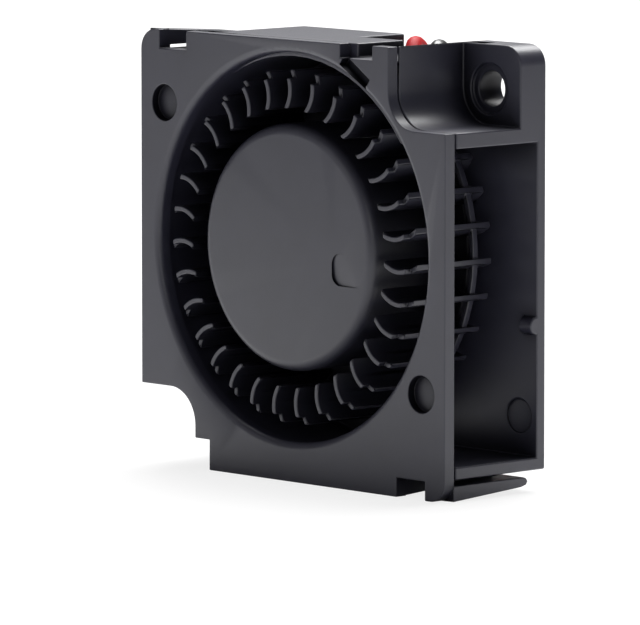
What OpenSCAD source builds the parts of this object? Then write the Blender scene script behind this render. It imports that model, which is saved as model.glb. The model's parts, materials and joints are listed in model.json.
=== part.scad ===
// Small square dc blower fan: air enters through the round inlet in the front cover and leaves at the
// open right side. The front cover faces -Y, the outlet faces +X, and the origin is the middle of the base.

/* [Casing] */
// Width and height of the square casing
casing_side = 30; // [29:0.1:32]
// Depth of the casing from the cover's face to the back
casing_depth = 9.4; // [9.2:0.1:11]
// Thickness of the side walls
side_wall = 0.8; // [0.6:0.05:1.1]
// Thickness of the back wall
back_wall = 0.8; // [0.6:0.05:1]
// Thickness of the front cover
cover_thickness = 1.05; // [0.8:0.05:1.2]
// Radius of the casing's outer corners
corner_radius = 1.4; // [0.8:0.1:2]

/* [Air path] */
// Width of the cover between the round inlet and the left side
inlet_rim_left = 1.75; // [1.65:0.05:1.95]
// Width of the cover between the round inlet and the right side
inlet_rim_right = 1.85; // [1.75:0.05:2.05]
// Width of the cover between the round inlet and the top
inlet_rim_top = 0.9; // [0.85:0.05:1.05]
// Radius that rounds the inlet's front edge
inlet_lip_radius = 0.5; // [0.3:0.05:0.7]
// Height of the outlet's floor above the base
outlet_floor = 2.33; // [2.2:0.01:2.5]
// Height of the solid corner above the outlet
outlet_roof = 6.5; // [6.4:0.1:7.5]
// Gap between the blade tips and the scroll's tongue
tongue_gap = 0.7; // [0.55:0.05:0.85]

/* [Mounting ears] */
// Distance of each mounting hole from the two nearest sides
ear_hole_inset = 3; // [2.8:0.1:3.1]
// Diameter of the mounting holes
ear_hole_diameter = 2.4; // [2:0.1:2.6]
// Diameter of the shallow seat round each mounting hole
ear_seat_diameter = 3.45; // [3.2:0.05:3.6]
// Depth of the shallow seat
ear_seat_depth = 0.25; // [0.1:0.05:0.4]
// Thickness of the mounting ears
ear_thickness = 2.4; // [2:0.1:2.8]
// Side of the square corner that is cut away in front of each ear
ear_side = 5.45; // [5:0.05:5.6]
// Radius of the cut-away corner
ear_inner_radius = 2.5; // [2:0.1:3]
// Radius of each ear's outer corner
ear_corner_radius = 1.7; // [1:0.1:2]

/* [Snap arms] */
// Thickness of the cover's snap arms
arm_thickness = 1.1; // [0.9:0.05:1.15]
// Distance of the snap arms' ends from the casing's back
arm_from_back = 1.6; // [1:0.1:2.2]
// Width of the window between the two legs of a snap arm
arm_window_width = 2.7; // [2.2:0.1:3]
// Distance of the window from the casing's side
arm_window_from_side = 1.9; // [1.6:0.1:2]
// Width of the inner leg of a snap arm
arm_inner_leg = 1.4; // [1:0.1:1.8]
// Gap between a snap arm and the casing wall that it lies along
arm_gap = 0.38; // [0.2:0.01:0.4]

/* [Impeller] */
// Number of blades
blade_count = 31; // [21:1:35]
// Distance of the blade tips inside the inlet's edge
blade_tip_inset = 1.15; // [1.05:0.05:1.3]
// Length of a blade from its root to its tip
blade_length = 2.6; // [2.3:0.05:2.7]
// Thickness of a blade
blade_thickness = 0.36; // [0.3:0.02:0.5]
// Radius of a blade's curve
blade_curve_radius = 2.25; // [2.1:0.05:2.6]
// Width of the lowered step at each blade's tip
tip_step_width = 0.55; // [0.4:0.05:0.7]
// Drop of the lowered step at each blade's tip
tip_step_drop = 0.55; // [0.3:0.05:0.8]
// Gap between the hub and the roots of the blades
hub_gap = 1.05; // [0.9:0.05:1.15]
// Thickness of the hub's wall
hub_wall = 0.65; // [0.6:0.05:0.7]
// Radius that rounds the hub's front edge
hub_edge_radius = 0.75; // [0.5:0.05:0.8]
// Distance of the hub's face behind the cover's face
hub_face_depth = 0.25; // [0.2:0.05:0.35]
// Distance of the rotor's axis to the left of the inlet's centre
rotor_shift_left = 0.5; // [0.4:0.05:0.6]
// Distance of the rotor's axis below the inlet's centre
rotor_shift_down = 0.05; // [0:0.05:0.15]

/* [Motor] */
// Diameter of the shaft
shaft_diameter = 1; // [0.8:0.1:1.2]
// Running clearance between the shaft and the bearing, on the radius
bearing_clearance = 0.03; // [0.02:0.01:0.05]
// Outer diameter of the bearing sleeve
bearing_diameter = 3; // [2.8:0.1:3.2]
// Outer diameter of the bearing tube that stands on the back wall
bearing_tube_diameter = 4.2; // [4:0.1:4.4]
// Thickness of the steel rotor cup
yoke_thickness = 0.45; // [0.4:0.05:0.5]
// Radial thickness of the ring magnet
magnet_thickness = 1; // [0.8:0.05:1.1]
// Air gap between the magnet and the stator
air_gap = 0.3; // [0.2:0.05:0.4]
// Number of stator laminations
lamination_count = 6; // [5:1:7]
// Thickness of one lamination
lamination_thickness = 0.4; // [0.35:0.01:0.42]
// Width of a stator pole's neck
pole_neck_width = 1.9; // [1.6:0.1:2.2]
// Build of the copper on each side of a pole
winding_build = 0.75; // [0.5:0.05:0.8]

/* [Circuit board] */
// Gap between the circuit board's edge and the hub's wall
board_gap = 1.15; // [0.8:0.05:1.4]
// Thickness of the circuit board
board_thickness = 0.6; // [0.5:0.05:0.7]

/* [Leads] */
// Diameter of each insulated lead
lead_diameter = 1.1; // [0.9:0.05:1.15]
// Width of the slot in the back wall that holds both leads
lead_slot_width = 3.6; // [3.4:0.1:4]
// Mean radius of the coiled leads
lead_coil_radius = 6; // [5.6:0.1:6.4]
// Height of the coiled leads
lead_coil_height = 7.15; // [6.8:0.05:7.4]
// Thickness of the tie round the coil
tie_thickness = 0.4; // [0.3:0.05:0.4]

/* [Connector] */
// Length of the connector
connector_length = 6.4; // [6:0.1:7]
// Width of the connector
connector_width = 5.6; // [5.4:0.1:6]
// Height of the connector
connector_height = 3.8; // [3.6:0.1:4.2]
// Distance between the two contacts
contact_pitch = 2; // [1.9:0.05:2.1]

/* [Hidden] */

$fn = 64;
overshoot = 1; // how far cutting shapes run past what they cut
casing_colour = [0.27, 0.27, 0.29];
board_colour = [0.12, 0.35, 0.22];
copper_colour = [0.75, 0.42, 0.22];
steel_colour = [0.62, 0.63, 0.65];

// places in the casing's own frame
inlet_radius = (casing_side - inlet_rim_left - inlet_rim_right) / 2;
inlet_from_left = inlet_rim_left + inlet_radius;
inlet_height = casing_side - inlet_rim_top - inlet_radius;
outlet_ceiling = casing_side - outlet_roof;
rotor_from_left = inlet_from_left - rotor_shift_left;
rotor_height = inlet_height - rotor_shift_down;

// depths along Y, measured from the cover's face
arm_reach = casing_depth - arm_from_back;
back_inside = casing_depth - back_wall;
ear_face = casing_depth - ear_thickness;
hub_front_thickness = 0.75;
hub_inside = hub_face_depth + hub_front_thickness;
hub_rear = back_inside - 1.1;
blade_rear = back_inside - 0.8;
yoke_rear = hub_rear - 0.5;
magnet_front = hub_inside + yoke_thickness + 0.45;
magnet_rear = yoke_rear - 0.1;
board_rear = blade_rear;
board_front = board_rear - board_thickness;
boss_height = 1;
boss_rear = hub_inside + boss_height;
washer_thickness = 0.3;
washer_play = 0.35;
bearing_front = boss_rear + washer_thickness + washer_play;
bearing_stand = 0.05;
tube_front = bearing_front + bearing_stand;
insulator_thickness = 0.3;
coil_clearance = 0.25;
core_rear = board_front - coil_clearance - winding_build - insulator_thickness;
core_front = core_rear - lamination_count * lamination_thickness;
shaft_end = back_inside - 0.4;
ring_front = shaft_end - 0.6;
ring_thickness = 0.25;
bearing_rear = ring_front - 0.2;

// radii about the rotor's axis
tip_radius = inlet_radius - blade_tip_inset;
root_radius = tip_radius - blade_length;
hub_radius = root_radius - hub_gap;
tongue_radius = tip_radius + tongue_gap;
yoke_radius = hub_radius - hub_wall;
magnet_radius = yoke_radius - yoke_thickness;
core_radius = magnet_radius - magnet_thickness - air_gap;
core_ring_radius = 3;
shoe_thickness = 0.6;
shoe_half_angle = 36;
tube_radius = bearing_tube_diameter / 2;
shaft_radius = shaft_diameter / 2;
boss_radius = 1.1;
board_radius = yoke_radius - board_gap;

// snap arms, given for the arm at the lower right; the upper left one is the same arm turned round
window_right = casing_side - arm_window_from_side;
window_left = window_right - arm_window_width;
arm_left = window_left - arm_inner_leg;
arm_pocket_height = arm_thickness + arm_gap;
hook_clearance = 0.2;
arm_bar_width = 1;

// lead recess across the casing's top
recess_depth = 0.95;
recess_right = casing_side - 5.6;
recess_left = recess_right - 3.8;
recess_rear_left = recess_right - 8;
recess_step = 5.3;

// leads; the route points are in the model's own frame
lead_radius = lead_diameter / 2;
lead_sides = 8;
lead_row = back_inside + 0.25 - casing_depth / 2;
red_x = 2.9;
black_x = 5.1;
red_solder_height = rotor_height + 3.15;
black_solder_height = rotor_height + 1.95;
solder_joint_height = 1.4;
coil_middle = [-5.4, 12.9];
red_route = [
    [red_x, lead_row, red_solder_height], [red_x, lead_row, 21.6], [red_x, lead_row, 24.2],
    [red_x, lead_row, 26.9], [2.45, 4.45, 28.1], [1.95, 4.95, 28.95], [1.4, 5.7, 29.25], [1.1, 6.45, 28.95],
    [0.95, 7.05, 28.1], [0.9, 7.25, 26.9], [0.6, 7.1, 24.3], [0.3, 6.7, 21], [0.15, 6.2, 17.5],
    [0.2, 5.9, 14], [0.35, 6, 11], [0.45, 6.9, 8.3], [0.55, 8.8, 6.6], [0.6, 10.8, 6.05], [0.6, 12.9, 5.9]
];
black_route = [
    [black_x, lead_row, black_solder_height], [black_x, lead_row, 20.8], [black_x, lead_row, 23.8],
    [black_x, lead_row, 26.9], [4.75, 4.45, 28.05], [4.25, 4.95, 28.85], [3.7, 5.7, 29.15], [3.35, 6.45, 28.85],
    [3.2, 7.05, 28.05], [3.1, 7.25, 26.9], [2.8, 7.1, 24.3], [2.4, 6.7, 21], [2, 6.3, 17.5],
    [1.5, 6.2, 14.5], [1.3, 6.5, 11.8], [1.1, 7.4, 9.4], [0.85, 9, 7.8], [0.65, 10.9, 7.2], [0.6, 12.9, 7]
];
connector_back = -11.6;
connector_middle = 18.9;
contact_height = connector_height / 2;
red_tail_route = [
    [-5.4, 18.9, 0.95], [-7.4, 18.7, 1.05], [-9.5, 18.2, 1.5],
    [connector_back, connector_middle - contact_pitch / 2, contact_height]
];
black_tail_route = [
    [-5.4, 18.9, 2.05], [-7.4, 19.1, 2.15], [-9.5, 19.6, 2],
    [connector_back, connector_middle + contact_pitch / 2, contact_height]
];

// helpers

// moves to the casing's lower left front corner, from which the casing is measured
module from_corner() {
    translate([-casing_side / 2, -casing_depth / 2, 0])
        children();
}

// extrudes a flat shape drawn in X and Z between two depths
module slab(front, rear) {
    translate([0, rear, 0])
        rotate([90, 0, 0])
            linear_extrude(rear - front)
                children();
}

// extrudes a flat shape drawn in Y and Z between two places along X
module beam(left, right) {
    translate([left, 0, 0])
        rotate([90, 0, 90])
            linear_extrude(right - left)
                children();
}

// a round bar along Y
module bar(x, z, radius, front, rear) {
    translate([x, front, z])
        rotate([-90, 0, 0])
            cylinder(h = rear - front, r = radius);
}

// a ring or disc about the rotor's axis
module ring(inner, outer, front, rear) {
    slab_on_axis(front, rear)
        difference() {
            circle(r = outer);
            circle(r = inner);
        }
}

// extrudes a flat shape drawn about the rotor's axis
module slab_on_axis(front, rear) {
    from_corner()
        translate([rotor_from_left, 0, rotor_height])
            slab(front, rear)
                children();
}

// turns a profile of radius and depth about the rotor's axis
module turned() {
    from_corner()
        translate([rotor_from_left, 0, rotor_height])
            rotate([-90, 0, 0])
                rotate_extrude()
                    children();
}

// repeats what the lower right corner has at the upper left corner
module at_both_arms() {
    children();
    translate([casing_side, 0, casing_side])
        rotate([0, 180, 0])
            children();
}

// repeats what the lower left corner has at the upper right corner
module at_both_ears() {
    at_both_arms()
        children();
}

// a rectangle with one radius on all four corners
module rounded_square(width, height, radius) {
    translate([radius, 0])
        square([width - 2 * radius, height]);
    translate([0, radius])
        square([width, height - 2 * radius]);
    for (x = [radius, width - radius], z = [radius, height - radius])
        translate([x, z])
            circle(r = radius);
}

function unit(v) = v / norm(v);
function heading(route, i) =
    unit(route[min(i + 1, len(route) - 1)] - route[max(i - 1, 0)]);
function tube_ring(route, i, aside) =
    let (along = heading(route, i), across = unit(cross(along, aside)), over = cross(along, across))
    [for (k = [0 : lead_sides - 1])
        let (turn = 360 * k / lead_sides)
        route[i] + lead_radius * (cos(turn) * across + sin(turn) * over)];

// sweeps a lead along its route; aside is a direction that the route never takes
module lead_tube(route, aside) {
    last = len(route) - 1;
    points = [for (i = [0 : last]) each tube_ring(route, i, aside)];
    sides = [for (i = [0 : last - 1], k = [0 : lead_sides - 1])
        let (a = i * lead_sides, next = (k + 1) % lead_sides)
        [a + k, a + next, a + lead_sides + next, a + lead_sides + k]];
    near_end = [for (k = [lead_sides - 1 : -1 : 0]) k];
    far_end = [for (k = [0 : lead_sides - 1]) last * lead_sides + k];
    polyhedron(points, concat(sides, [near_end], [far_end]), convexity = 8);
}

// casing

// the scroll round the impeller: a spiral that grows from the tongue to the outlet's floor
function scroll_radius(angle, extra) =
    let (start = asin((outlet_ceiling - rotor_height) / tongue_radius),
        grown = rotor_height - outlet_floor - tongue_radius)
    tongue_radius + extra + grown * (angle - start) / (270 - start);

module scroll(extra) {
    start = asin((outlet_ceiling - rotor_height) / tongue_radius);
    steps = 39;
    spiral = [for (i = [0 : steps])
        let (angle = start + (270 - start) * i / steps)
        [rotor_from_left, rotor_height] + scroll_radius(angle, extra) * [cos(angle), sin(angle)]];
    polygon(concat(spiral, [
        [casing_side + overshoot, outlet_floor - extra],
        [casing_side + overshoot, outlet_ceiling + extra]
    ]));
}

// the corner that is cut away in front of an ear, drawn at the lower left
module ear_cutaway(side) {
    translate([-overshoot, -overshoot])
        rounded_square(side + overshoot, side + overshoot, ear_inner_radius);
    translate([-overshoot, -overshoot])
        square([side + overshoot, ear_inner_radius]);
    translate([-overshoot, -overshoot])
        square([ear_inner_radius, side + overshoot]);
}

module casing_outline() {
    rounded_square(casing_side, casing_side, corner_radius);
}

// the pockets along the base and the top in which the cover's snap arms lie
module arm_pockets() {
    at_both_arms()
        translate([arm_left - arm_gap, -overshoot, -overshoot])
            cube([casing_side + overshoot - arm_left + arm_gap,
                casing_depth + 2 * overshoot, arm_pocket_height + overshoot]);
}

// the hook that a snap arm catches
module arm_hook() {
    hook_rear = arm_reach - arm_bar_width - hook_clearance;
    beam(window_left + hook_clearance, window_right - hook_clearance)
        polygon([
            [hook_rear - 1.6, arm_pocket_height], [hook_rear, arm_pocket_height],
            [hook_rear, 0.5], [hook_rear - 0.4, 0.5]
        ]);
}

// the recess across the top that the leads cross on their way out
module lead_recess() {
    recess_floor = casing_side - recess_depth;
    translate([recess_left, -overshoot, recess_floor])
        cube([recess_right - recess_left, casing_depth + 2 * overshoot, recess_depth + overshoot]);
    translate([recess_rear_left, recess_step, recess_floor])
        cube([recess_right - recess_rear_left, casing_depth, recess_depth + overshoot]);
}

// the slot in the back wall from the circuit board to the top, flared where the leads turn aside
module lead_slot() {
    slot_left = casing_side / 2 + (red_x + black_x - lead_slot_width) / 2;
    slot_bottom = black_solder_height - solder_joint_height - 0.2;
    flare_height = 3.2;
    translate([slot_left, back_inside - overshoot, slot_bottom])
        cube([lead_slot_width, back_wall + 2 * overshoot, casing_side]);
    translate([recess_rear_left, back_inside - overshoot, casing_side - flare_height])
        cube([slot_left - recess_rear_left + overshoot, back_wall + 2 * overshoot, casing_side]);
}

module corner_pocket() {
    pocket_limit = 7;
    slab(cover_thickness - overshoot, back_inside)
        difference() {
            translate([side_wall, casing_side - pocket_limit])
                square([pocket_limit - side_wall, pocket_limit - side_wall - arm_pocket_height]);
            scroll(side_wall);
        }
}

module rear_housing() {
    lower_left_step = 6.6;
    step_height = 2.1;
    color(casing_colour)
        from_corner()
            difference() {
                union() {
                    difference() {
                        slab(cover_thickness, casing_depth)
                            casing_outline();
                        slab(cover_thickness - overshoot, back_inside)
                            scroll(0);
                        at_both_ears()
                            slab(-overshoot, ear_face)
                                ear_cutaway(ear_side);
                        translate([-overshoot, -overshoot, -overshoot])
                            cube([lower_left_step + overshoot, ear_face + overshoot,
                                step_height + overshoot]);
                        arm_pockets();
                        corner_pocket();
                        lead_recess();
                        lead_slot();
                    }
                    at_both_arms()
                        arm_hook();
                    base_tab(lower_left_step);
                    outlet_pip();
                    bearing_tube();
                }
                for (place = [ear_hole_inset, casing_side - ear_hole_inset]) {
                    bar(place, place, ear_hole_diameter / 2, 0, casing_depth + overshoot);
                    bar(place, place, ear_seat_diameter / 2, 0, ear_face + ear_seat_depth);
                }
                bar(rotor_from_left, rotor_height, bearing_diameter / 2, 0, back_inside);
                pin_mark();
            }
}

// small tab at the lower left that keeps the cover's corner in line
module base_tab(root) {
    translate([root - 1.35, cover_thickness + 0.5, 0.3])
        cube([2, 2, 1.2]);
}

// half-round pip on the back wall at the outlet's edge
module outlet_pip() {
    pip_length = 1.2;
    pip_height = 11.2;
    intersection() {
        translate([casing_side - pip_length, back_inside, pip_height])
            rotate([0, 90, 0])
                cylinder(h = pip_length, r = 0.6);
        cube([casing_side, back_inside + back_wall / 2, casing_side]);
    }
}

// shallow round mark on the back wall inside the outlet
module pin_mark() {
    bar(casing_side - 1.7, 5, 1.15, back_inside - overshoot, back_inside + 0.2);
}

// the tube that holds the bearing, with the shoulder that the circuit board rests on
module bearing_tube() {
    shoulder_radius = tube_radius + 0.9;
    bar(rotor_from_left, rotor_height, tube_radius, tube_front, back_inside + back_wall / 2);
    bar(rotor_from_left, rotor_height, shoulder_radius, board_rear, back_inside + back_wall / 2);
}

// one snap arm of the cover with its window, at the lower right
module snap_arm() {
    tip_rise = 0.45;
    difference() {
        beam(arm_left, casing_side)
            polygon([
                [cover_thickness - 0.2, 0.03], [arm_reach - 0.6, tip_rise],
                [arm_reach - 0.15, tip_rise + 0.12],
                [arm_reach, tip_rise + 0.35], [arm_reach - 0.15, arm_thickness - 0.08],
                [arm_reach - 0.4, arm_thickness], [cover_thickness - 0.2, arm_thickness]
            ]);
        translate([window_left, -overshoot, -overshoot])
            cube([arm_window_width, arm_reach - arm_bar_width + overshoot, arm_thickness + 2 * overshoot]);
    }
}

// the fine groove along the joint between the cover and the housing
module parting_groove() {
    groove_height = 0.14;
    groove_depth = 0.2;
    inside = casing_side - 2 * groove_depth;
    slab(cover_thickness - groove_height, cover_thickness + overshoot)
        difference() {
            translate([-overshoot, -overshoot])
                square(casing_side + 2 * overshoot);
            translate([groove_depth, groove_depth])
                rounded_square(inside, inside, corner_radius - groove_depth);
        }
    at_both_ears()
        slab(cover_thickness - groove_height, cover_thickness + overshoot)
            ear_cutaway(ear_side + groove_depth);
}

// rounds the front edge of the inlet
module inlet_lip() {
    translate([inlet_from_left, 0, inlet_height])
        rotate([-90, 0, 0])
            rotate_extrude($fn = 96)
                difference() {
                    translate([inlet_radius - 0.1, -overshoot])
                        square([inlet_lip_radius + 0.1, inlet_lip_radius + overshoot]);
                    translate([inlet_radius + inlet_lip_radius, inlet_lip_radius])
                        circle(r = inlet_lip_radius);
                }
}

// the pocket and the slanted groove in the cover beside the lead recess
module cover_groove() {
    pocket_left = recess_left - 0.7;
    pocket_width = 3.1;
    groove_depth = 0.7;
    translate([pocket_left, -overshoot, casing_side - recess_depth])
        cube([pocket_width, cover_thickness + 2 * overshoot, recess_depth + overshoot]);
    translate([pocket_left + 0.45, -overshoot, casing_side - recess_depth + 0.3])
        rotate([0, 34, 0])
            translate([0, 0, -0.9])
                cube([2.9, groove_depth + overshoot, 0.9]);
}

module front_cover() {
    dimple_radius = 1.25;
    dimple_depth = 0.6;
    lower_left_cut = 6.9;
    cut_height = 2.1;
    mould_slot = 1.3;
    color(casing_colour)
        from_corner() {
            difference() {
                slab(0, cover_thickness)
                    casing_outline();
                bar(inlet_from_left, inlet_height, inlet_radius, -overshoot, cover_thickness + overshoot);
                inlet_lip();
                at_both_ears()
                    slab(-overshoot, cover_thickness + overshoot)
                        ear_cutaway(ear_side);
                translate([-overshoot, -overshoot, -overshoot])
                    cube([lower_left_cut + overshoot, cover_thickness + 2 * overshoot, cut_height + overshoot]);
                at_both_arms()
                    translate([window_left, -overshoot, -overshoot])
                        cube([arm_window_width, cover_thickness + 2 * overshoot, mould_slot + overshoot]);
                for (place = [[2.4, casing_side - 5], [casing_side - 2.25, 7.1]])
                    bar(place[0], place[1], dimple_radius, -overshoot, dimple_depth);
                cover_groove();
                parting_groove();
            }
            at_both_arms()
                snap_arm();
        }
}

// rotor

// one curved blade, drawn beside the X axis
module blade() {
    intersection() {
        translate([(root_radius + tip_radius) / 2, blade_curve_radius - 0.33])
            difference() {
                circle(r = blade_curve_radius + blade_thickness / 2);
                circle(r = blade_curve_radius - blade_thickness / 2);
            }
        difference() {
            circle(r = tip_radius, $fn = 128);
            circle(r = root_radius, $fn = 128);
        }
        translate([root_radius - 1, -2])
            square([tip_radius - root_radius + 2, 3]);
    }
}

module blades(front, rear) {
    slab_on_axis(front, rear)
        for (i = [0 : blade_count - 1])
            rotate(360 * (i + 0.78) / blade_count)
                blade();
}

// the hub, open at the back, with the boss that holds the shaft
module hub_profile() {
    difference() {
        union() {
            translate([0, hub_face_depth])
                square([hub_radius - hub_edge_radius, hub_rear - hub_face_depth]);
            translate([0, hub_face_depth + hub_edge_radius])
                square([hub_radius, hub_rear - hub_face_depth - hub_edge_radius]);
            translate([hub_radius - hub_edge_radius, hub_face_depth + hub_edge_radius])
                circle(r = hub_edge_radius);
        }
        translate([boss_radius, hub_inside])
            square([yoke_radius - boss_radius, hub_rear]);
        translate([0, boss_rear])
            square([yoke_radius, hub_rear]);
        translate([0, hub_inside - 0.4])
            square([shaft_radius, hub_rear]);
    }
}

// the shallow mark in the hub's face, deepest at its lower left and level with the face at its right
module hub_mark() {
    mark_depth = 0.2;
    from_corner()
        translate([rotor_from_left + hub_radius / 2 + 0.2, hub_face_depth, rotor_height - 2.2])
            rotate([3, 0, -4])
                slab(-overshoot, mark_depth)
                    rounded_square(2.9, 2.2, 0.8);
}

module impeller() {
    web_thickness = 0.6;
    web_reach = 1.2;
    tie_ring_front = back_inside - 2.5;
    tie_ring_width = 0.5;
    tie_ring_thickness = 0.45;
    tie_ring_inset = 0.06;
    color(casing_colour) {
        difference() {
            turned()
                hub_profile();
            hub_mark();
        }
        ring(hub_radius - hub_wall / 2, root_radius + web_reach, hub_rear - web_thickness, hub_rear);
        difference() {
            blades(hub_face_depth, blade_rear);
            ring(tip_radius - tip_step_width, tip_radius + overshoot,
                hub_face_depth - overshoot, hub_face_depth + tip_step_drop);
        }
        ring(tip_radius - tie_ring_thickness, tip_radius - tie_ring_inset,
            tie_ring_front, tie_ring_front + tie_ring_width);
    }
}

module rotor_yoke() {
    color(steel_colour)
        turned()
            difference() {
                translate([boss_radius, hub_inside])
                    square([yoke_radius - boss_radius, yoke_rear - hub_inside]);
                translate([0, hub_inside + yoke_thickness])
                    square([magnet_radius, yoke_rear]);
            }
}

module ring_magnet() {
    color([0.2, 0.19, 0.18])
        ring(magnet_radius - magnet_thickness, magnet_radius, magnet_front, magnet_rear);
}

module shaft() {
    tip = 0.15;
    groove = 0.1;
    color([0.75, 0.76, 0.78])
        turned()
            difference() {
                polygon([
                    [0, hub_inside - 0.4], [shaft_radius, hub_inside - 0.4], [shaft_radius, shaft_end - tip],
                    [shaft_radius - tip, shaft_end], [0, shaft_end]
                ]);
                translate([shaft_radius - groove, ring_front])
                    square([shaft_radius, ring_thickness]);
            }
}

module thrust_washer() {
    color([0.85, 0.82, 0.7])
        ring(shaft_radius, boss_radius + 0.1, boss_rear, boss_rear + washer_thickness);
}

// split ring in the shaft's groove that keeps the rotor from sliding out
module retaining_ring() {
    color(steel_colour)
        slab_on_axis(ring_front, ring_front + ring_thickness)
            difference() {
                circle(r = bearing_diameter / 2 - 0.4);
                circle(r = shaft_radius - 0.1);
                translate([0, -0.15])
                    square([bearing_diameter, 0.3]);
            }
}

// bearing and stator

module bearing_sleeve() {
    color([0.72, 0.55, 0.3])
        ring(shaft_radius + bearing_clearance, bearing_diameter / 2, bearing_front, bearing_rear);
}

module thrust_pad() {
    color([0.9, 0.9, 0.86])
        ring(0, bearing_diameter / 2, shaft_end + 0.03, back_inside);
}

// one lamination, with four poles and their curved shoes
module lamination(neck, shoe, ring_radius) {
    difference() {
        union() {
            circle(r = ring_radius);
            for (turn = [0 : 90 : 270])
                rotate(turn) {
                    translate([0, -neck / 2])
                        square([core_radius - shoe_thickness / 2, neck]);
                    intersection() {
                        difference() {
                            circle(r = core_radius);
                            circle(r = core_radius - shoe);
                        }
                        polygon([
                            [0, 0],
                            2 * core_radius * [cos(shoe_half_angle), -sin(shoe_half_angle)],
                            2 * core_radius * [cos(shoe_half_angle), sin(shoe_half_angle)]
                        ]);
                    }
                }
        }
        circle(r = tube_radius);
    }
}

module stator_core() {
    color(steel_colour)
        slab_on_axis(core_front, core_rear)
            lamination(pole_neck_width, shoe_thickness, core_ring_radius);
}

module insulator(front, rear) {
    color([0.88, 0.88, 0.84])
        slab_on_axis(front, rear)
            lamination(pole_neck_width, shoe_thickness, core_ring_radius);
}

module front_insulator() {
    insulator(core_front - insulator_thickness, core_front);
}

// the rear insulator has four posts that carry the circuit board
module rear_insulator() {
    post_radius = 0.35;
    insulator(core_rear, core_rear + insulator_thickness);
    color([0.88, 0.88, 0.84])
        for (turn = [45 : 90 : 315])
            slab_on_axis(core_rear, board_front)
                rotate(turn)
                    translate([core_ring_radius - post_radius, 0])
                        circle(r = post_radius);
}

// a winding round one pole, between the core's ring and the pole's shoe
module winding(turn) {
    clearance = 0.1;
    half_width = pole_neck_width / 2 + winding_build;
    front = core_front - insulator_thickness - winding_build;
    rear = core_rear + insulator_thickness + winding_build;
    inner_end = core_ring_radius + clearance;
    outer_end = sqrt(pow(core_radius - shoe_thickness, 2) - pow(half_width, 2)) - clearance;
    color(copper_colour)
        from_corner()
            translate([rotor_from_left, 0, rotor_height])
                rotate([0, -turn, 0])
                    beam(inner_end, outer_end)
                        difference() {
                            translate([front, -half_width])
                                rounded_square(rear - front, 2 * half_width, winding_build * 0.8);
                            translate([front + winding_build, -pole_neck_width / 2])
                                square([rear - front - 2 * winding_build, pole_neck_width]);
                        }
}

module coil_right() {
    winding(0);
}

module coil_top() {
    winding(90);
}

module coil_left() {
    winding(180);
}

module coil_bottom() {
    winding(270);
}

// circuit board

pin_circle = core_radius - shoe_thickness - 0.55;
pin_radius = 0.2;
pin_turns = [55, 125, 145];

module circuit_board() {
    color(board_colour)
        slab_on_axis(board_front, board_rear)
            difference() {
                circle(r = board_radius);
                circle(r = tube_radius + 0.05);
                for (turn = pin_turns)
                    rotate(turn)
                        translate([pin_circle, 0])
                            circle(r = pin_radius);
            }
}

// a flat component on the front of the board, set in from the board's edge
module chip(turn, inset, length, width, height) {
    color([0.1, 0.1, 0.11])
        from_corner()
            translate([rotor_from_left, 0, rotor_height])
                rotate([0, -turn, 0])
                    translate([board_radius - inset - length, board_front - height, -width / 2])
                        cube([length, height, width]);
}

module hall_sensor() {
    chip(turn = 315, inset = 0.7, length = 1.2, width = 1.8, height = 0.6);
}

module driver_chip() {
    chip(turn = 225, inset = 0.7, length = 1.3, width = 2, height = 0.6);
}

module capacitor() {
    chip(turn = 135, inset = 0.9, length = 0.6, width = 1.1, height = 0.5);
}

module terminal_pins() {
    color(steel_colour)
        for (turn = pin_turns)
            slab_on_axis(board_front - 0.5, board_rear + 0.4)
                rotate(turn)
                    translate([pin_circle, 0])
                        circle(r = pin_radius);
}

// the joints that hold the lead ends on the back of the board
module lead_solder_joints() {
    color([0.8, 0.81, 0.83])
        for (place = [[red_x, red_solder_height], [black_x, black_solder_height]])
            translate([place[0] - lead_radius, board_rear - casing_depth / 2, place[1] - solder_joint_height])
                cube([2 * lead_radius, lead_row + lead_radius + casing_depth / 2 - board_rear,
                    solder_joint_height]);
}

// leads

module red_lead() {
    color([0.7, 0.1, 0.1])
        lead_tube(red_route, [1, 0, 0]);
}

module black_lead() {
    color([0.08, 0.08, 0.08])
        lead_tube(black_route, [1, 0, 0]);
}

module red_lead_tail() {
    color([0.7, 0.1, 0.1])
        lead_tube(red_tail_route, [0, 0, 1]);
}

module black_lead_tail() {
    color([0.08, 0.08, 0.08])
        lead_tube(black_tail_route, [0, 0, 1]);
}

// both leads, wound together as one neat coil
module lead_coil() {
    color([0.2, 0.08, 0.08])
        translate([coil_middle[0], coil_middle[1], tie_thickness])
            rotate_extrude()
                translate([lead_coil_radius - lead_radius, 0])
                    square([2 * lead_radius, lead_coil_height]);
}

module lead_tie() {
    tie_width = 1.6;
    slack = 0.06;
    inner = [2 * (lead_radius + slack), tie_width + 2 * overshoot, lead_coil_height];
    outer = [inner[0] + 2 * tie_thickness, tie_width, inner[2] + 2 * tie_thickness];
    color([0.1, 0.1, 0.1])
        translate([coil_middle[0] - lead_coil_radius, coil_middle[1], 0])
            difference() {
                translate([-outer[0] / 2, -outer[1] / 2, 0])
                    cube(outer);
                translate([-inner[0] / 2, -inner[1] / 2, tie_thickness])
                    cube(inner);
            }
}

// connector

cavity_width = 1.5;
cavity_height = 2.4;
connector_wall = 0.5;

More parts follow.
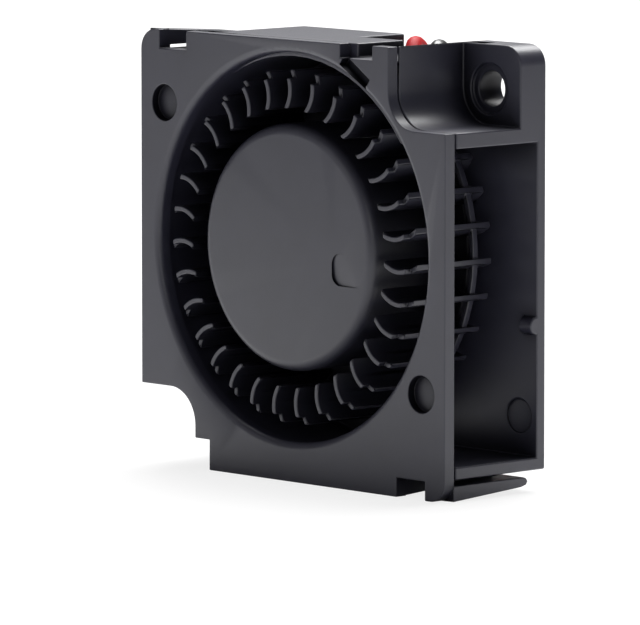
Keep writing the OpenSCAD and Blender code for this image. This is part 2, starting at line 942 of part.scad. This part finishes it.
module connector_housing() {
    rib_height = 0.5;
    body_height = connector_height - rib_height;
    color([0.9, 0.89, 0.84])
        translate([connector_back - connector_length, connector_middle - connector_width / 2, 0])
            difference() {
                union() {
                    cube([connector_length, connector_width, body_height]);
                    for (side = [0.6, connector_width - 1.2])
                        translate([0, side, 0])
                            cube([connector_length - 2, 0.6, connector_height]);
                }
                for (side = [-1, 1])
                    translate([connector_wall, (connector_width + side * contact_pitch - cavity_width) / 2,
                            contact_height - cavity_height / 2])
                        cube([connector_length, cavity_width, cavity_height]);
                for (side = [-1, 1])
                    translate([-overshoot, (connector_width + side * contact_pitch) / 2 - 0.4,
                            contact_height - 0.4])
                        cube([connector_length, 0.8, 0.8]);
            }
}

module connector_contacts() {
    contact_length = 4.4;
    color([0.82, 0.82, 0.78])
        for (side = [-1, 1])
            translate([connector_back - contact_length - 0.6,
                    connector_middle + side * contact_pitch / 2 - cavity_width / 2,
                    contact_height - cavity_width / 2]) {
                difference() {
                    cube([contact_length - 1.4, cavity_width, cavity_width]);
                    translate([-overshoot, 0.25, 0.25])
                        cube([contact_length, cavity_width - 0.5, cavity_width - 0.5]);
                }
                translate([contact_length - 1.5, 0.1, 0])
                    cube([2, cavity_width - 0.2, 0.3]);
            }
}

rear_housing();
front_cover();
bearing_sleeve();
thrust_pad();
stator_core();
front_insulator();
rear_insulator();
coil_right();
coil_top();
coil_left();
coil_bottom();
circuit_board();
hall_sensor();
driver_chip();
capacitor();
terminal_pins();
lead_solder_joints();
impeller();
rotor_yoke();
ring_magnet();
shaft();
thrust_washer();
retaining_ring();
red_lead();
black_lead();
lead_coil();
red_lead_tail();
black_lead_tail();
lead_tie();
connector_housing();
connector_contacts();
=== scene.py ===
# Small square dc blower fan: finish, leads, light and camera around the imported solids.
import json
import math

import bpy
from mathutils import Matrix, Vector


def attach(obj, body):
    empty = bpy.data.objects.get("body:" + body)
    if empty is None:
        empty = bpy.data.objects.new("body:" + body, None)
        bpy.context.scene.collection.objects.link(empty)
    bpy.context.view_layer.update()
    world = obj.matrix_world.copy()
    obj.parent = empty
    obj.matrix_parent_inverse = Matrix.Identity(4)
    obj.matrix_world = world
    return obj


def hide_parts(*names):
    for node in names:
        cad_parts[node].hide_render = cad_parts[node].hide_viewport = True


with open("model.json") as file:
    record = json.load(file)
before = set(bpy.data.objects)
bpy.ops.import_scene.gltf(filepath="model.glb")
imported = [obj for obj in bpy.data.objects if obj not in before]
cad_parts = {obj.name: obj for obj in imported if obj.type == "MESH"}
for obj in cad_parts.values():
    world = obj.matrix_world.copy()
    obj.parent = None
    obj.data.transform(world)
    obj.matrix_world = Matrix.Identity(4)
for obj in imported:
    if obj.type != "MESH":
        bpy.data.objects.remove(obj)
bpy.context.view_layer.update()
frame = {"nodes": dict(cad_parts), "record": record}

nodes = frame["nodes"]
scene = bpy.context.scene
mm = 0.001  # every size below that is written as a number times mm is in millimetres
print("stage: frame loaded,", len(nodes), "solids")


# camera

cameraSettings = {
    "azimuth": 46.74,  # degrees round from the front cover towards the outlet
    "elevation": 6.43,
    "distance": 492.2 * mm,
    "lens": 407.5,  # in Blender's lens millimetres on a 36 mm sensor
    "aim": (0, 0.3 * mm, 15 * mm),
    "slideRight": -1.6 * mm,  # how far the aim slides in the picture's plane
    "slideUp": -3.83 * mm,
}


def makeCamera():
    azimuth = math.radians(cameraSettings["azimuth"])
    elevation = math.radians(cameraSettings["elevation"])
    back = Vector((
        math.sin(azimuth) * math.cos(elevation),
        -math.cos(azimuth) * math.cos(elevation),
        math.sin(elevation),
    ))
    right = Vector((math.cos(azimuth), math.sin(azimuth), 0))
    up = back.cross(right)
    aim = Vector(cameraSettings["aim"])
    aim += right * cameraSettings["slideRight"] + up * cameraSettings["slideUp"]
    data = bpy.data.cameras.new("viewCamera")
    data.lens = cameraSettings["lens"]
    data.sensor_width = 36
    data.clip_start = 0.01
    data.clip_end = 20
    camera = bpy.data.objects.new("viewCamera", data)
    camera.location = aim + back * cameraSettings["distance"]
    camera.rotation_mode = "QUATERNION"
    camera.rotation_quaternion = (-back).to_track_quat("-Z", "Y")
    scene.collection.objects.link(camera)
    scene.camera = camera


makeCamera()
print("stage: camera set")


# leads

leadSettings = {
    "diameter": 1.1 * mm,
    "coilMiddle": (-5.4, 12.9),  # where the spare length is wound, in millimetres
    "coilRadius": 6.0,
    "coilTurns": 2.25,
    "coilDrop": 2.2,  # how far both leads sink in one turn
    "pointsPerTurn": 24,
}
redStart = [
    (2.9, 4.15, 19), (2.9, 4.15, 21.6), (2.9, 4.15, 24.2), (2.9, 4.15, 26.9), (2.45, 4.45, 28.1),
    (1.95, 4.95, 28.95), (1.4, 5.7, 29.25), (1.1, 6.45, 28.95), (0.95, 7.05, 28.1), (0.9, 7.25, 26.9),
    (0.6, 7.1, 24.3), (0.3, 6.7, 21), (0.15, 6.2, 17.5), (0.2, 5.9, 14), (0.35, 6, 11),
    (0.45, 6.9, 8.3), (0.55, 8.8, 6.6), (0.6, 10.8, 6.05), (0.6, 12.9, 5.9),
]
blackStart = [
    (5.1, 4.15, 17.8), (5.1, 4.15, 20.8), (5.1, 4.15, 23.8), (5.1, 4.15, 26.9), (4.75, 4.45, 28.05),
    (4.25, 4.95, 28.85), (3.7, 5.7, 29.15), (3.35, 6.45, 28.85), (3.2, 7.05, 28.05), (3.1, 7.25, 26.9),
    (2.8, 7.1, 24.3), (2.4, 6.7, 21), (2, 6.3, 17.5), (1.5, 6.2, 14.5), (1.3, 6.5, 11.8),
    (1.1, 7.4, 9.4), (0.85, 9, 7.8), (0.65, 10.9, 7.2), (0.6, 12.9, 7),
]
redTail = [(-7.4, 18.7, 1.05), (-9.5, 18.2, 1.5), (-11.6, 17.9, 1.9)]
blackTail = [(-7.4, 19.1, 2.15), (-9.5, 19.6, 2), (-11.6, 19.9, 1.9)]


def woundTurns(topHeight):
    # the turns of one lead in the coil, from its right side round to its back
    middleX, middleY = leadSettings["coilMiddle"]
    steps = round(leadSettings["coilTurns"] * leadSettings["pointsPerTurn"])
    points = []
    for step in range(1, steps + 1):
        turn = step / leadSettings["pointsPerTurn"]
        angle = 2 * math.pi * turn
        points.append((
            middleX + leadSettings["coilRadius"] * math.cos(angle),
            middleY + leadSettings["coilRadius"] * math.sin(angle),
            topHeight - leadSettings["coilDrop"] * turn,
        ))
    return points


def routeLength(route):
    return sum((Vector(b) - Vector(a)).length for a, b in zip(route, route[1:]))


def makeLead(name, start, tail, replaced):
    route = [tuple(c * mm for c in p) for p in start + woundTurns(start[-1][2]) + tail]
    curve = bpy.data.curves.new(name, "CURVE")
    curve.dimensions = "3D"
    curve.bevel_depth = 1  # times each point's radius
    curve.bevel_resolution = 5
    curve.resolution_u = 6
    curve.use_fill_caps = True
    spline = curve.splines.new("BEZIER")
    spline.bezier_points.add(len(route) - 1)
    for point, place in zip(spline.bezier_points, route):
        point.co = place
        point.radius = leadSettings["diameter"] / 2
        point.handle_left_type = point.handle_right_type = "AUTO"
    lead = bpy.data.objects.new(name, curve)
    scene.collection.objects.link(lead)
    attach(lead, "casing")
    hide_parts(*replaced)
    print("stage:", name, "is", round(routeLength(route) / mm, 1), "mm long")
    return lead


redLead = makeLead(
    "redWire", redStart, redTail, ["red_lead", "lead_coil", "red_lead_tail"],
)
blackLead = makeLead(
    "blackWire", blackStart, blackTail,
    ["black_lead", "lead_coil", "black_lead_tail"],
)


# shader node groups that several materials share


def newGroup(name, inputs, outputs):
    # a shader node group with named sockets, and its two end nodes
    group = bpy.data.node_groups.new(name, "ShaderNodeTree")
    for socketName, socketType, default in inputs:
        socket = group.interface.new_socket(name=socketName, in_out="INPUT", socket_type=socketType)
        socket.default_value = default
    for socketName, socketType in outputs:
        group.interface.new_socket(name=socketName, in_out="OUTPUT", socket_type=socketType)
    return group, group.nodes.new("NodeGroupInput"), group.nodes.new("NodeGroupOutput")


def addNode(tree, kind, settings=None, **values):
    # a node with its properties set and its input values written by socket name
    node = tree.nodes.new(kind)
    for key, value in (settings or {}).items():
        setattr(node, key, value)
    for key, value in values.items():
        node.inputs[key].default_value = value
    return node


def addMath(tree, operation, first, second=None, clamp=False):
    # a Math node fed by sockets or plain numbers
    node = addNode(tree, "ShaderNodeMath", {"operation": operation, "use_clamp": clamp})
    for index, value in enumerate((first, second)):
        if value is None:
            continue
        if isinstance(value, (int, float)):
            node.inputs[index].default_value = value
        else:
            tree.links.new(value, node.inputs[index])
    return node.outputs[0]


def buildMouldGrain():
    # the fine spark-eroded skin of a moulded part, with slow waves from uneven shrinkage
    group, given, put = newGroup(
        "mouldGrain",
        [("Vector", "NodeSocketVector", (0, 0, 0)), ("Grain Size", "NodeSocketFloat", 0.1 * mm)],
        [("Height", "NodeSocketFloat"), ("Mask", "NodeSocketFloat")],
    )
    grainScale = addMath(group, "DIVIDE", 1, given.outputs["Grain Size"])
    fine = addNode(group, "ShaderNodeTexNoise", Detail=3, Roughness=0.6)
    group.links.new(given.outputs["Vector"], fine.inputs["Vector"])
    group.links.new(grainScale, fine.inputs["Scale"])
    coarse = addNode(group, "ShaderNodeTexNoise", Detail=1)
    group.links.new(given.outputs["Vector"], coarse.inputs["Vector"])
    group.links.new(addMath(group, "MULTIPLY", grainScale, 0.07), coarse.inputs["Scale"])
    waves = addMath(group, "MULTIPLY", coarse.outputs["Fac"], 1.5)
    group.links.new(addMath(group, "ADD", fine.outputs["Fac"], waves), put.inputs["Height"])
    group.links.new(fine.outputs["Fac"], put.inputs["Mask"])
    return group


def buildMottle():
    # a colour that drifts lighter and darker over the surface
    group, given, put = newGroup(
        "mottle",
        [
            ("Vector", "NodeSocketVector", (0, 0, 0)), ("Color", "NodeSocketColor", (0.5, 0.5, 0.5, 1)),
            ("Patch Size", "NodeSocketFloat", 3 * mm), ("Amount", "NodeSocketFloat", 0.2),
        ],
        [("Color", "NodeSocketColor"), ("Mask", "NodeSocketFloat")],
    )
    patches = addNode(group, "ShaderNodeTexNoise", Detail=4, Roughness=0.55)
    group.links.new(given.outputs["Vector"], patches.inputs["Vector"])
    group.links.new(addMath(group, "DIVIDE", 1, given.outputs["Patch Size"]), patches.inputs["Scale"])
    centred = addMath(group, "SUBTRACT", patches.outputs["Fac"], 0.5)
    swing = addMath(group, "MULTIPLY", centred, given.outputs["Amount"])
    gain = addMath(group, "MULTIPLY_ADD", swing, 4)
    gain.node.inputs[2].default_value = 1
    shade = addNode(group, "ShaderNodeMix", {"data_type": "RGBA", "blend_type": "MULTIPLY"})
    shade.inputs["Factor"].default_value = 1
    group.links.new(given.outputs["Color"], shade.inputs["A"])
    group.links.new(gain, shade.inputs["B"])
    group.links.new(shade.outputs["Result"], put.inputs["Color"])
    group.links.new(patches.outputs["Fac"], put.inputs["Mask"])
    return group


def buildEdgeWear():
    # a mask along outer edges, broken up by noise, where handling has polished or scuffed them
    group, given, put = newGroup(
        "edgeWear",
        [("Vector", "NodeSocketVector", (0, 0, 0)), ("Width", "NodeSocketFloat", 0.15 * mm)],
        [("Mask", "NodeSocketFloat")],
    )
    rounded = addNode(group, "ShaderNodeBevel", {"samples": 6})
    group.links.new(given.outputs["Width"], rounded.inputs["Radius"])
    geometry = group.nodes.new("ShaderNodeNewGeometry")
    facing = addNode(group, "ShaderNodeVectorMath", {"operation": "DOT_PRODUCT"})
    group.links.new(rounded.outputs["Normal"], facing.inputs[0])
    group.links.new(geometry.outputs["Normal"], facing.inputs[1])
    turned = addMath(group, "SUBTRACT", 1, facing.outputs["Value"])
    edge = addMath(group, "MULTIPLY", turned, 6, clamp=True)
    breaks = addNode(group, "ShaderNodeTexNoise", Scale=1 / (0.6 * mm), Detail=3)
    group.links.new(given.outputs["Vector"], breaks.inputs["Vector"])
    broken = addMath(group, "MULTIPLY", breaks.outputs["Fac"], 1.4, clamp=True)
    group.links.new(addMath(group, "MULTIPLY", edge, broken, clamp=True), put.inputs["Mask"])
    return group


def buildPaintedShade():
    # a painted shade mask from ambient occlusion: 1 in the open and close to 0 deep between the blades and
    # in gaps, where hardly any light arrives
    group, given, put = newGroup(
        "paintedShade",
        [("Reach", "NodeSocketFloat", 3 * mm), ("Depth", "NodeSocketFloat", 2)],
        [("Mask", "NodeSocketFloat")],
    )
    openness = addNode(group, "ShaderNodeAmbientOcclusion", {"samples": 8, "only_local": True})
    group.links.new(given.outputs["Reach"], openness.inputs["Distance"])
    group.links.new(
        addMath(group, "POWER", openness.outputs["AO"], given.outputs["Depth"]), put.inputs["Mask"]
    )
    return group


mouldGrain = buildMouldGrain()
mottle = buildMottle()
edgeWear = buildEdgeWear()
paintedShade = buildPaintedShade()


# materials


def startMaterial(name):
    material = bpy.data.materials.new(name)
    material.use_nodes = True
    tree = material.node_tree
    tree.nodes.clear()
    surface = tree.nodes.new("ShaderNodeBsdfPrincipled")
    output = tree.nodes.new("ShaderNodeOutputMaterial")
    tree.links.new(surface.outputs["BSDF"], output.inputs["Surface"])
    return material, tree, surface


def placeGroup(tree, group, vector, **values):
    node = tree.nodes.new("ShaderNodeGroup")
    node.node_tree = group
    for key, value in values.items():
        node.inputs[key.replace("_", " ")].default_value = value
    tree.links.new(vector, node.inputs["Vector"])
    return node


def mixRange(tree, mask, low, high):
    # a value that goes from low to high with a mask
    node = addNode(tree, "ShaderNodeMapRange", {"clamp": True})
    node.inputs["To Min"].default_value = low
    node.inputs["To Max"].default_value = high
    tree.links.new(mask, node.inputs["Value"])
    return node.outputs["Result"]


def makeFinish(name, look):
    # one general finish: mottled colour, grain in bump and roughness, lighter worn edges, and painted
    # shade that darkens the colour and dims the shine in hollows
    material, tree, surface = startMaterial(name)
    place = tree.nodes.new("ShaderNodeTexCoord").outputs["Object"]
    colour = placeGroup(
        tree, mottle, place, Color=(*look["colour"], 1), Patch_Size=look["patchSize"],
        Amount=look["mottleAmount"],
    )
    wear = placeGroup(tree, edgeWear, place, Width=look["wearWidth"])
    worn = addNode(tree, "ShaderNodeMix", {"data_type": "RGBA"})
    worn.inputs["B"].default_value = (*look["wornColour"], 1)
    tree.links.new(colour.outputs["Color"], worn.inputs["A"])
    tree.links.new(mixRange(tree, wear.outputs["Mask"], 0, look["wearAmount"]), worn.inputs["Factor"])
    paintedShadeNode = tree.nodes.new("ShaderNodeGroup")
    paintedShadeNode.node_tree = paintedShade
    paintedShadeNode.inputs["Reach"].default_value = look["paintedShadeReach"]
    paintedShadeNode.inputs["Depth"].default_value = look["paintedShadeDepth"]
    # painted shade: the base colour is multiplied darker in hollows and gaps
    paintedShadeColour = addNode(tree, "ShaderNodeMix", {"data_type": "RGBA", "blend_type": "MULTIPLY"})
    paintedShadeColour.inputs["Factor"].default_value = 1
    tree.links.new(worn.outputs["Result"], paintedShadeColour.inputs["A"])
    tree.links.new(paintedShadeNode.outputs["Mask"], paintedShadeColour.inputs["B"])
    tree.links.new(paintedShadeColour.outputs["Result"], surface.inputs["Base Color"])
    grain = placeGroup(tree, mouldGrain, place, Grain_Size=look["grainSize"])
    low, high = look["roughness"]
    tree.links.new(mixRange(tree, grain.outputs["Mask"], low, high), surface.inputs["Roughness"])
    bump = addNode(tree, "ShaderNodeBump", Strength=look["bumpStrength"], Distance=look["grainDepth"])
    tree.links.new(grain.outputs["Height"], bump.inputs["Height"])
    tree.links.new(bump.outputs["Normal"], surface.inputs["Normal"])
    surface.inputs["Metallic"].default_value = look.get("metallic", 0)
    # painted shade also takes the shine out of hollows and gaps
    glossDimmedByShade = mixRange(tree, paintedShadeNode.outputs["Mask"], 0, look.get("specular", 0.5))
    tree.links.new(glossDimmedByShade, surface.inputs["Specular IOR Level"])
    surface.inputs["Coat Weight"].default_value = look.get("coat", 0)
    return material


# the reach and depth entries set the painted shade in hollows and gaps
plasticLook = {
    "colour": (0.018, 0.018, 0.029), "patchSize": 4 * mm, "mottleAmount": 0.12,
    "wornColour": (0.05, 0.05, 0.055), "wearWidth": 0.12 * mm, "wearAmount": 0.25,
    "grainSize": 0.09 * mm, "grainDepth": 0.01 * mm, "bumpStrength": 0.35,
    "roughness": (0.34, 0.46), "paintedShadeReach": 2.5 * mm, "paintedShadeDepth": 2,
}
finishes = {
    "casing_plastic": plasticLook,
    "impeller_plastic": {**plasticLook, "colour": (0.018, 0.018, 0.028), "patchSize": 3 * mm},
    "sintered_bronze": {
        **plasticLook, "colour": (0.42, 0.27, 0.12), "wornColour": (0.6, 0.42, 0.2),
        "metallic": 1, "grainSize": 0.05 * mm, "roughness": (0.4, 0.6),
    },
    "white_plastic": {**plasticLook, "colour": (0.7, 0.69, 0.64), "wornColour": (0.75, 0.74, 0.7)},
    "motor_steel": {
        **plasticLook, "colour": (0.5, 0.5, 0.51), "wornColour": (0.65, 0.65, 0.66),
        "metallic": 1, "roughness": (0.28, 0.42), "bumpStrength": 0.15,
    },
    "shaft_steel": {
        **plasticLook, "colour": (0.62, 0.62, 0.63), "wornColour": (0.7, 0.7, 0.7),
        "metallic": 1, "roughness": (0.14, 0.24), "bumpStrength": 0.05,
    },
    "magnet_ferrite": {
        **plasticLook, "colour": (0.045, 0.042, 0.04), "wornColour": (0.1, 0.09, 0.09),
        "roughness": (0.55, 0.75),
    },
    "chip_resin": {
        **plasticLook, "colour": (0.02, 0.02, 0.022), "grainSize": 0.05 * mm,
        "roughness": (0.45, 0.6),
    },
    "ceramic_tan": {**plasticLook, "colour": (0.42, 0.3, 0.17), "wornColour": (0.55, 0.42, 0.28)},
    "tinned_metal": {
        **plasticLook, "colour": (0.66, 0.66, 0.65), "wornColour": (0.75, 0.75, 0.74),
        "metallic": 1, "roughness": (0.22, 0.4), "patchSize": 0.8 * mm,
    },
    "connector_nylon": {
        **plasticLook, "colour": (0.72, 0.69, 0.6), "wornColour": (0.8, 0.78, 0.7),
        "roughness": (0.38, 0.52), "patchSize": 2 * mm, "mottleAmount": 0.05,
    },
    "red_insulation": {
        **plasticLook, "colour": (0.34, 0.006, 0.01), "wornColour": (0.45, 0.03, 0.03),
        "roughness": (0.5, 0.6), "grainSize": 0.2 * mm, "specular": 0.12,
    },
    "black_insulation": {
        **plasticLook, "colour": (0.014, 0.014, 0.015), "wornColour": (0.05, 0.05, 0.05),
        "roughness": (0.3, 0.42), "grainSize": 0.2 * mm,
    },
    "board_laminate": {
        **plasticLook, "colour": (0.02, 0.11, 0.05), "wornColour": (0.25, 0.24, 0.12),
        "roughness": (0.22, 0.35), "coat": 0.3,
    },
    "copper_winding": {
        **plasticLook, "colour": (0.62, 0.26, 0.11), "wornColour": (0.75, 0.4, 0.2),
        "metallic": 1, "roughness": (0.22, 0.36),
    },
}
materials = {name: makeFinish(name, look) for name, look in finishes.items()}
print("stage:", len(materials), "materials made")


# rounded edges and finishes of the solids


def buildSmoothByAngle():
    # drops the imported shading and shades smooth across every edge flatter than the limit
    group = bpy.data.node_groups.new("smoothByAngle", "GeometryNodeTree")
    group.interface.new_socket(name="Geometry", in_out="INPUT", socket_type="NodeSocketGeometry")
    limit = group.interface.new_socket(name="Angle", in_out="INPUT", socket_type="NodeSocketFloat")
    limit.default_value = math.radians(32)
    group.interface.new_socket(name="Geometry", in_out="OUTPUT", socket_type="NodeSocketGeometry")
    given = group.nodes.new("NodeGroupInput")
    put = group.nodes.new("NodeGroupOutput")
    bare = group.nodes.new("GeometryNodeRemoveAttribute")
    bare.inputs["Name"].default_value = "custom_normal"
    angle = group.nodes.new("GeometryNodeInputMeshEdgeAngle")
    flat = addNode(group, "FunctionNodeCompare", {"data_type": "FLOAT", "operation": "LESS_EQUAL"})
    smoothFaces = addNode(group, "GeometryNodeSetShadeSmooth", {"domain": "FACE"})
    smoothEdges = addNode(group, "GeometryNodeSetShadeSmooth", {"domain": "EDGE"})
    group.links.new(given.outputs["Geometry"], bare.inputs["Geometry"])
    group.links.new(bare.outputs["Geometry"], smoothFaces.inputs["Geometry"])
    group.links.new(smoothFaces.outputs["Geometry"], smoothEdges.inputs["Geometry"])
    group.links.new(angle.outputs["Unsigned Angle"], flat.inputs["A"])
    group.links.new(given.outputs["Angle"], flat.inputs["B"])
    group.links.new(flat.outputs["Result"], smoothEdges.inputs["Shade Smooth"])
    group.links.new(smoothEdges.outputs["Geometry"], put.inputs["Geometry"])
    return group


smoothByAngle = buildSmoothByAngle()


def buildMarkEdges():
    # gives sharp edges the weight that the bevel follows, and none to those in a ring round one axis
    group = bpy.data.node_groups.new("markEdges", "GeometryNodeTree")
    group.interface.new_socket(name="Geometry", in_out="INPUT", socket_type="NodeSocketGeometry")
    for name, kind, default in (
        ("Angle", "NodeSocketFloat", math.radians(32)), ("Centre", "NodeSocketVector", (0, 0, 0)),
        ("Inner", "NodeSocketFloat", 0), ("Outer", "NodeSocketFloat", 0),
    ):
        group.interface.new_socket(name=name, in_out="INPUT", socket_type=kind).default_value = default
    group.interface.new_socket(name="Geometry", in_out="OUTPUT", socket_type="NodeSocketGeometry")
    given = group.nodes.new("NodeGroupInput")
    put = group.nodes.new("NodeGroupOutput")
    angle = group.nodes.new("GeometryNodeInputMeshEdgeAngle")
    place = group.nodes.new("GeometryNodeInputPosition")
    offset = addNode(group, "ShaderNodeVectorMath", {"operation": "SUBTRACT"})
    flatten = addNode(group, "ShaderNodeVectorMath", {"operation": "MULTIPLY"})
    flatten.inputs[1].default_value = (1, 0, 1)
    length = addNode(group, "ShaderNodeVectorMath", {"operation": "LENGTH"})
    group.links.new(place.outputs["Position"], offset.inputs[0])
    group.links.new(given.outputs["Centre"], offset.inputs[1])
    group.links.new(offset.outputs["Vector"], flatten.inputs[0])
    group.links.new(flatten.outputs["Vector"], length.inputs[0])
    sharp = addMath(group, "GREATER_THAN", angle.outputs["Unsigned Angle"], given.outputs["Angle"])
    within = addMath(group, "LESS_THAN", length.outputs["Value"], given.outputs["Inner"])
    beyond = addMath(group, "GREATER_THAN", length.outputs["Value"], given.outputs["Outer"])
    weight = addMath(group, "MULTIPLY", sharp, addMath(group, "ADD", within, beyond, clamp=True))
    store = addNode(group, "GeometryNodeStoreNamedAttribute", {"data_type": "FLOAT", "domain": "EDGE"})
    store.inputs["Name"].default_value = "bevel_weight_edge"
    group.links.new(given.outputs["Geometry"], store.inputs["Geometry"])
    group.links.new(weight, store.inputs["Value"])
    group.links.new(store.outputs["Geometry"], put.inputs["Geometry"])
    return group


markEdges = buildMarkEdges()


def roundEdges(node, width, spared=None):
    # welds the seams of the imported mesh and rounds its sharp edges, sparing those in a ring
    weld = node.modifiers.new("weldSeams", "WELD")
    weld.merge_threshold = 0.0005 * mm
    smooth = node.modifiers.new("smoothByAngle", "NODES")
    smooth.node_group = smoothByAngle
    if not width:
        return
    mark = node.modifiers.new("markEdges", "NODES")
    mark.node_group = markEdges
    sockets = {socket.name: socket.identifier for socket in markEdges.interface.items_tree}
    for name, value in (spared or {}).items():
        mark[sockets[name]] = value
    bevel = node.modifiers.new("roundedEdges", "BEVEL")
    bevel.width = width
    bevel.segments = 2
    bevel.limit_method = "WEIGHT"
    bevel.use_clamp_overlap = False
    bevel.loop_slide = False
    bevel.harden_normals = True


edgeWidths = {  # radius of the rounded edges of each solid that has them
    "front_cover": 0.07 * mm, "rear_housing": 0.12 * mm, "impeller": 0.09 * mm,
    "connector_housing": 0.12 * mm, "lead_tie": 0.1 * mm,
    "lead_solder_joints": 0.25 * mm,
    "coil_right": 0.1 * mm, "coil_top": 0.1 * mm, "coil_left": 0.1 * mm, "coil_bottom": 0.1 * mm,
    "driver_chip": 0.05 * mm, "hall_sensor": 0.05 * mm, "capacitor": 0.05 * mm,
}
sparedRings = {  # round edges that the solids already have, where no more rounding is wanted
    "front_cover": {"Centre": (-0.05 * mm, 0, 15.9 * mm), "Inner": 12.8 * mm, "Outer": 13.75 * mm},
    "impeller": {"Centre": (5.3 * mm, 0, 14.75 * mm), "Inner": 0, "Outer": 2 * mm},
}
solidSlots = {part["node"]: part["material_slot"] for part in frame["record"]["subparts"]}


def dressSolids():
    for name, node in nodes.items():
        finish = materials[solidSlots[name]]
        node.data.materials.clear()
        node.data.materials.append(finish)
        roundEdges(node, edgeWidths.get(name, 0), sparedRings.get(name))


dressSolids()
redLead.data.materials.append(materials["red_insulation"])
blackLead.data.materials.append(materials["black_insulation"])
print("stage: solids dressed")


# floor, backdrop light and lamps

stageSettings = {
    "floorSize": 4.0,
    "floorColour": (0.86, 0.86, 0.86),
    "floorGlow": 0.8,  # share of plain white in what the camera sees of the floor
    "worldLight": 0.2,
    "worldShine": 0.14,  # what shiny surfaces see of the studio all round
}


def addLightPath(tree):
    # 1 for rays that see the plain white background, and 1 for rays that a shiny surface sends out
    path = tree.nodes.new("ShaderNodeLightPath")
    seen = addMath(tree, "MAXIMUM", path.outputs["Is Camera Ray"], path.outputs["Is Transmission Ray"])
    return seen, path.outputs["Is Glossy Ray"]


def makeFloor():
    half = stageSettings["floorSize"] / 2
    mesh = bpy.data.meshes.new("floor")
    corners = [(-half, -half, 0), (half, -half, 0), (half, half, 0), (-half, half, 0)]
    mesh.from_pydata(corners, [], [(0, 1, 2, 3)])
    floor = bpy.data.objects.new("floor", mesh)
    scene.collection.objects.link(floor)
    material = bpy.data.materials.new("floorPaper")
    material.use_nodes = True
    tree = material.node_tree
    tree.nodes.clear()
    paper = addNode(tree, "ShaderNodeBsdfDiffuse", Color=(*stageSettings["floorColour"], 1))
    glow = addNode(tree, "ShaderNodeEmission", Color=(1, 1, 1, 1), Strength=1)
    mix = tree.nodes.new("ShaderNodeMixShader")
    seen, _ = addLightPath(tree)
    share = addMath(tree, "MULTIPLY", seen, stageSettings["floorGlow"])
    tree.links.new(share, mix.inputs["Fac"])
    tree.links.new(paper.outputs["BSDF"], mix.inputs[1])
    tree.links.new(glow.outputs["Emission"], mix.inputs[2])
    output = tree.nodes.new("ShaderNodeOutputMaterial")
    tree.links.new(mix.outputs["Shader"], output.inputs["Surface"])
    mesh.materials.append(material)


def makeWorld():
    world = bpy.data.worlds.new("studio")
    scene.world = world
    world.use_nodes = True
    tree = world.node_tree
    tree.nodes.clear()
    seen, glossy = addLightPath(tree)
    shown = addNode(tree, "ShaderNodeBackground", Color=(1, 1, 1, 1), Strength=1)
    lit = addNode(tree, "ShaderNodeBackground", Color=(1, 1, 1, 1), Strength=stageSettings["worldLight"])
    shine = addNode(tree, "ShaderNodeBackground", Color=(1, 1, 1, 1), Strength=stageSettings["worldShine"])
    soft = tree.nodes.new("ShaderNodeMixShader")
    tree.links.new(glossy, soft.inputs["Fac"])
    tree.links.new(lit.outputs["Background"], soft.inputs[1])
    tree.links.new(shine.outputs["Background"], soft.inputs[2])
    mix = tree.nodes.new("ShaderNodeMixShader")
    tree.links.new(seen, mix.inputs["Fac"])
    tree.links.new(soft.outputs["Shader"], mix.inputs[1])
    tree.links.new(shown.outputs["Background"], mix.inputs[2])
    output = tree.nodes.new("ShaderNodeOutputWorld")
    tree.links.new(mix.outputs["Shader"], output.inputs["Surface"])


lampSettings = [  # each lamp's place round the object, its size and its brightness
    {"name": "keyPanel", "azimuth": 50, "elevation": 16, "distance": 0.7, "size": 0.2, "power": 0.4},
    {"name": "frontPanel", "azimuth": -15, "elevation": 20, "distance": 0.7, "size": 0.5, "power": 0.65},
    {"name": "topPanel", "azimuth": 210, "elevation": 62, "distance": 0.6, "size": 0.5, "power": 11.0},
]


def makeLamps():
    middle = Vector((0, 0, 15 * mm))
    for lamp in lampSettings:
        azimuth = math.radians(lamp["azimuth"])
        elevation = math.radians(lamp["elevation"])
        back = Vector((
            math.sin(azimuth) * math.cos(elevation),
            -math.cos(azimuth) * math.cos(elevation),
            math.sin(elevation),
        ))
        data = bpy.data.lights.new(lamp["name"], "AREA")
        data.shape = "SQUARE"
        data.size = lamp["size"]
        data.energy = lamp["power"]
        light = bpy.data.objects.new(lamp["name"], data)
        light.location = middle + back * lamp["distance"]
        light.rotation_mode = "QUATERNION"
        light.rotation_quaternion = (-back).to_track_quat("-Z", "Y")
        light.visible_camera = False
        scene.collection.objects.link(light)


makeFloor()
makeWorld()
makeLamps()
scene.view_settings.view_transform = "Standard"
print("stage: floor, world and lamps set")
